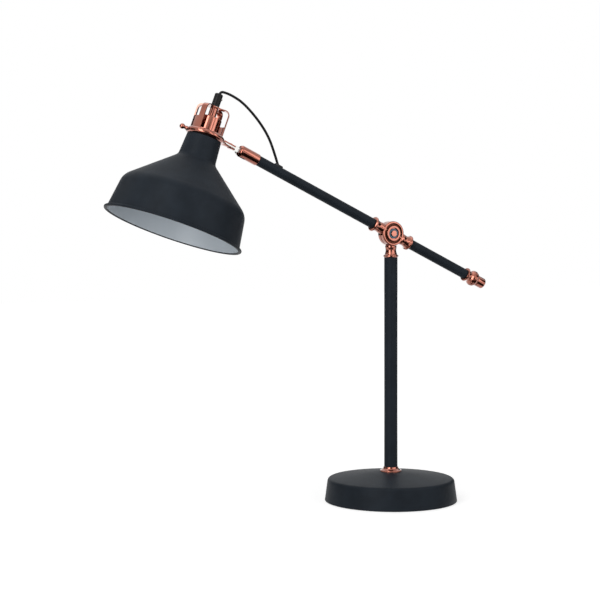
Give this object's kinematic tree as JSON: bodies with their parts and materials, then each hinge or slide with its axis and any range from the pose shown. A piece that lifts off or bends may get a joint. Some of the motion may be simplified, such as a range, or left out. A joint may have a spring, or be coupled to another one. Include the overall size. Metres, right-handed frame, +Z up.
{
  "type": "counterweight balance desk lamp",
  "caption": "Desk lamp with a flared metal shade on a pivoting balance arm, tilting at a copper clevis, on a slim stem and a weighted round base.",
  "frame": {"origin": "centre of the base's underside", "axes": "+Z up along the stem; the arm lies in the XZ plane with the shade on the -X side and the counterweight on the +X side; the pivot's ringed face looks towards -Y"},
  "size_m": [0.5021, 0.1622, 0.4856],
  "materials": {
    "black_powder_coat": "matt",
    "copper_plate": "satin",
    "zinc_steel": "satin",
    "cast_iron": "matt",
    "felt": "matt",
    "friction_fibre": "matt",
    "black_rubber": "matt",
    "black_lead": "satin",
    "black_phenolic": "satin",
    "brass": "satin"
  },
  "bodies": {
    "stand": {"base_pad": "felt", "bottom_plate": "zinc_steel", "plate_screws": "zinc_steel", "base_weight": "cast_iron", "base_cover": "black_powder_coat", "mains_grommet": "black_rubber", "lead_connector": "black_phenolic", "stem_lead": "black_lead", "stem_tube": "black_powder_coat", "stem_rod": "zinc_steel", "rod_washer": "zinc_steel", "rod_nut": "zinc_steel", "base_collar": "copper_plate", "stem_knuckle": "copper_plate", "pivot_screw": "copper_plate", "pivot_nut": "copper_plate", "spring_washer": "zinc_steel", "friction_washer": "friction_fibre", "pivot_lead": "black_lead"},
    "arm": {"arm_knuckle": "copper_plate", "front_arm_tube": "black_powder_coat", "rear_arm_tube": "black_powder_coat", "counterweight_finial": "copper_plate", "counterweight_slug": "zinc_steel", "sleeve_knuckle": "copper_plate", "knuckle_stud": "zinc_steel", "cord_grommet": "black_rubber", "arm_lead": "black_lead", "head_cord": "black_lead"},
    "head": {"knuckle_tongue": "zinc_steel", "tongue_rivet": "copper_plate", "yoke_ring": "copper_plate", "gallery_cage": "copper_plate", "shade": "black_powder_coat", "shade_ring": "black_phenolic", "lampholder_cap": "copper_plate", "lampholder_body": "black_phenolic", "socket_shell": "brass", "centre_contact": "brass", "threaded_nipple": "zinc_steel", "nipple_lock_nut": "zinc_steel", "cord_grip": "black_phenolic", "grip_screw": "zinc_steel", "socket_lead": "black_lead"},
    "tilt_nut": {"tilt_lock_nut": "zinc_steel"},
    "thumbscrew": {"ball_thumbscrew": "copper_plate"}
  },
  "joints": [
    {"name": "arm_tilt", "type": "hinge", "parent": "stand", "child": "arm", "pos_m": [0, 0, 0.3215], "axis": [0, 1, 0], "range_deg": [-60, 12]},
    {"name": "head_tilt", "type": "hinge", "parent": "arm", "child": "head", "pos_m": [-0.20116, 0, 0.41659], "axis": [0, 1, 0], "range_deg": [-30, 45], "deforming": ["head_cord"]},
    {"name": "tilt_nut_turn", "type": "hinge", "parent": "arm", "child": "tilt_nut", "pos_m": [-0.20116, 0.0089, 0.41659], "axis": [0, 1, 0], "range_deg": [0, 360]},
    {"name": "thumbscrew_turn", "type": "hinge", "parent": "head", "child": "thumbscrew", "pos_m": [-0.27682, 0, 0.44443], "axis": [-0.9348, 0, 0.3551], "range_deg": [0, 360]}
  ]
}
